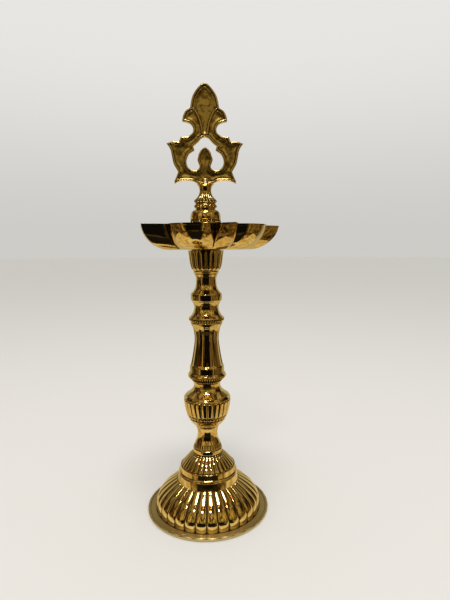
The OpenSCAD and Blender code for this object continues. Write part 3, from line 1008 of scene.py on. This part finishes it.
def floor_material():
    """Pale and plain where it is seen directly. Polished metal mirrors a table in its place: a pale, worn
    sheet under the lamp and behind it, a darker, mottled top in front, and a black painted shadow straight
    ahead."""
    material, tree, shader, where = new_material("floor")
    x, y, _ = add_node(tree, "ShaderNodeSeparateXYZ", {0: where}).outputs
    reach = add_node(tree, "ShaderNodeVectorMath", {0: where}, operation="LENGTH").outputs["Value"]
    mottled = patches(tree, where, 0.44, 0.56, 13, 4, 0.6, 0.9)
    table = mix_colours(tree, mottled, (0.012, 0.008, 0.004), (0.42, 0.29, 0.10))
    table = mix_colours(tree, ramp(tree, reach, 0.26, 0.40), table, (0.03, 0.02, 0.01))
    worn = patches(tree, where, 0.42, 0.58, 17, 3, 0.6, 0.6)
    worn = mix_colours(tree, worn, (0.74, 0.61, 0.36), (0.46, 0.36, 0.17))
    sheet = mix_colours(tree, ramp(tree, reach, 0.085, 0.12), (0.74, 0.68, 0.52), worn)
    edge = times(tree, noise(tree, where, 30, 2), 0.012, y)
    top = mix_colours(tree, ramp(tree, edge, -0.108, -0.102), table, sheet)
    aside = maths(tree, "DIVIDE", maths(tree, "ABSOLUTE", x), maths(tree, "ABSOLUTE", y))
    # A black wedge on the floor in front, seen only in the metal: painted shadow
    painted_shadow_ahead = times(tree, ramp(tree, reach, 0.094, 0.100), ramp(tree, y, -0.38, -0.32))
    painted_shadow_ahead = times(tree, painted_shadow_ahead, ramp(tree, aside, 0.80, 0.70))
    painted_shadow_ahead = times(tree, painted_shadow_ahead, ramp(tree, y, 0, -0.01))
    top = mix_colours(tree, painted_shadow_ahead, top, (0.006, 0.005, 0.004))
    tone = mix_colours(tree, mirrored(tree), (0.78, 0.77, 0.74), top)
    tree.links.new(tone, shader.inputs["Base Color"])
    shader.inputs["Roughness"].default_value = 0.8
    shader.inputs["Specular IOR Level"].default_value = 0.1
    return material


def studio():
    """The floor, a broad light overhead, a smaller one in front, and a faint orange strip."""
    material = floor_material()
    floor_ring("floor_near", 0, NEAR_FLOOR_R, material)
    floor_ring("floor_far", NEAR_FLOOR_R, FAR_FLOOR_R, material).visible_glossy = False
    for name, place, size, power, tint in (
            ("key", (0.02, -0.44, 1.9), (0.56, 0.40), 9, (1.0, 0.98, 0.95)),
            ("second", (-0.16, -0.98, 1.5), (0.20, 0.13), 2.2, (1.0, 0.96, 0.90)),
            ("warm", (0.0, -0.76, 1.62), (0.22, 0.025), 0.25, (1.0, 0.22, 0.05))):
        light = bpy.data.lights.new(name, "AREA")
        light.shape = "RECTANGLE"
        light.size, light.size_y = size
        light.energy = power
        light.color = tint
        made = bpy.data.objects.new(name, light)
        made.location = place
        made.rotation_euler = (Vector(place) - Vector(LIT_POINT)).to_track_quat("Z", "Y").to_euler()
        made.visible_camera = False
        bpy.context.scene.collection.objects.link(made)


# Narrow bright strips of the mirrored room: bearing and half width in degrees, and colour
STRIPS = ((-53, 4.0, (0.50, 0.34, 0.12)), (42, 2.0, (0.46, 0.31, 0.11)), (61, 3.0, (0.22, 0.14, 0.05)))


def world():
    """A pale backdrop where it is seen directly, which also lights the floor. Polished metal mirrors a dim
    room in its place. Heights and bearings are in degrees; bearing 0 is ahead, and 90 is towards +X."""
    made = bpy.data.worlds.new("room")
    bpy.context.scene.world = made
    made.use_nodes = True
    tree = made.node_tree
    tree.nodes.clear()
    toward = add_node(tree, "ShaderNodeTexCoord").outputs["Generated"]
    x, y, z = add_node(tree, "ShaderNodeSeparateXYZ", {0: toward}).outputs
    flat = maths(tree, "SQRT", times(tree, x, x, times(tree, y, y)))
    level = times(tree, maths(tree, "ARCTAN2", z, flat), 180 / math.pi)
    side = times(tree, maths(tree, "ARCTAN2", x, times(tree, y, -1.0)), 180 / math.pi)
    # Uneven edges for everything that follows
    rise = times(tree, noise(tree, toward, 3.7, 3, 0.6), 14.0, maths(tree, "SUBTRACT", level, 7.0))
    side = times(tree, noise(tree, toward, 2.9, 3, 0.6), 10.0, maths(tree, "SUBTRACT", side, 5.0))
    spread = maths(tree, "ABSOLUTE", side)
    # Dark walls, and below them a mottled floor that is paler behind the lamp
    blotch = patches(tree, toward, 0.44, 0.62, 3.1, 4, 0.55, 0.6)
    room = mix_colours(tree, blotch, (0.010, 0.007, 0.004), (0.15, 0.093, 0.03))
    mottled = patches(tree, toward, 0.42, 0.58, 6.5, 4, 0.6, 1.0)
    below = mix_colours(tree, mottled, (0.014, 0.009, 0.004), (0.21, 0.135, 0.045))
    below = mix_colours(tree, ramp(tree, spread, 105, 130), below, (0.34, 0.31, 0.21))
    room = mix_colours(tree, ramp(tree, rise, -2, -8), room, below)
    # A reddish area on the left, and black ahead
    left = times(tree, ramp(tree, side, -28, -36), ramp(tree, side, -80, -64))
    room = mix_colours(tree, times(tree, left, ramp(tree, rise, 6, 10)), room, (0.12, 0.016, 0.006))
    narrow = ramp(tree, away(tree, side, -3.0), 26, 20)
    wide = times(tree, ramp(tree, away(tree, side, -5.0), 42, 34), ramp(tree, rise, 8, 2))
    room = mix_colours(tree, maths(tree, "MAXIMUM", narrow, wide), room, (0.004, 0.004, 0.004))
    # Golden patches higher up, and the strips
    golden = patches(tree, toward, 0.42, 0.60, 4.6, 4, 0.55, 0.8)
    raised = mix_colours(tree, golden, (0.04, 0.025, 0.008), (0.60, 0.45, 0.16))
    room = mix_colours(tree, times(tree, ramp(tree, rise, 10, 15), ramp(tree, spread, 80, 60)), room, raised)
    for bearing, half, tint in STRIPS:
        room = mix_colours(tree, ramp(tree, away(tree, side, bearing), half, half * 0.4), room, tint)
    # A pale wall behind the lamp, and the ceiling
    wall = mix_colours(tree, ramp(tree, level, 14, 26), (0.46, 0.42, 0.28), (0.13, 0.10, 0.055))
    room = mix_colours(tree, ramp(tree, spread, 122, 132), room, wall)
    golden = patches(tree, toward, 0.42, 0.60, 4.2, 3, 0.5, 0.8)
    ceiling = mix_colours(tree, golden, (0.06, 0.037, 0.015), (0.42, 0.32, 0.16))
    room = mix_colours(tree, ramp(tree, rise, 30, 46), room, ceiling)
    pale = mix_colours(tree, ramp(tree, level, 0, 25), (0.61, 0.60, 0.57), (0.80, 0.79, 0.77))
    seen = mix_colours(tree, mirrored(tree), pale, room)
    back = add_node(tree, "ShaderNodeBackground", {"Color": seen, "Strength": 1.0})
    add_node(tree, "ShaderNodeOutputWorld", {"Surface": back.outputs[0]})


# ---- The lamp ----

def lamp():
    """Every piece of the lamp, each in place of its CAD node and on its body."""
    polished = brass("polished_brass", DEEP_BRASS, 0.035, 0.085, 0.09, 0.0015)
    worn = brass("foot_brass", DEEP_BRASS, 0.035, 0.085, 0.09, 0.0015, satin=0.0028)
    bowl = brass("bowl_brass", (0.82, 0.58, 0.20), 0.04, 0.10, 0.20, 0.001)
    cast = plate_brass()
    bolt = steel()
    seal = fibre()
    for node, body, finish, ribs, relief, fine in (
            ("base_bell", "base", worn, (30, 14, BELL_VALLEY), bell_relief, 0.45),
            ("base_dome", "base", polished, (28, 14, DOME_VALLEY), dome_relief, 0.35),
            ("neck", "stem", polished, (30, 10, FRONT), neck_relief, 0.3),
            ("bulb", "stem", polished, (24, 16, FRONT), bulb_relief, 0.35),
            ("column", "stem", polished, (16, 26, COLUMN_ARRIS), column_relief, 0.35),
            ("upper_stem", "stem", polished, (40, 8, FRONT), upper_relief, 0.3),
            ("cup", "stem", polished, (16, 20, FRONT), cup_relief, 0.3),
            ("collar", "collar", polished, (40, 8, FRONT), collar_relief, 0.3),
            ("finial_washer", "spacer", polished, (24, 8, 0), no_relief, 0.3),
            ("finial_foot", "finial", polished, (20, 14, FRONT), foot_relief, 0.25)):
        turned_piece(node, body, finish, ribs, relief, fine=fine)
    turned_piece("base_washer", "nut_washer", bolt, (24, 4, 0))
    for node, body, pitch in (("base_stud", "stem", 1.5), ("bulb_stud", "stem", 1.5),
                              ("column_stud", "stem", 1.5), ("upper_stud", "stem", 1.5),
                              ("cup_stud", "stem", 1.25), ("finial_stud", "collar", 1.0)):
        turned_piece(node, body, bolt, (12, 3, 0), thread_relief(pitch), fine=0.16)
    for node, body in (("bowl_seal", "bowl_washer"), ("collar_washer", "collar_seal")):
        turned_piece(node, body, seal, (24, 4, 0))
    nut_piece(bolt)
    bowl_piece(bowl)
    plate_piece(cast)


camera()
world()
studio()
lamp()
bpy.context.scene.view_settings.view_transform = "Standard"

bpy.context.view_layer.update()
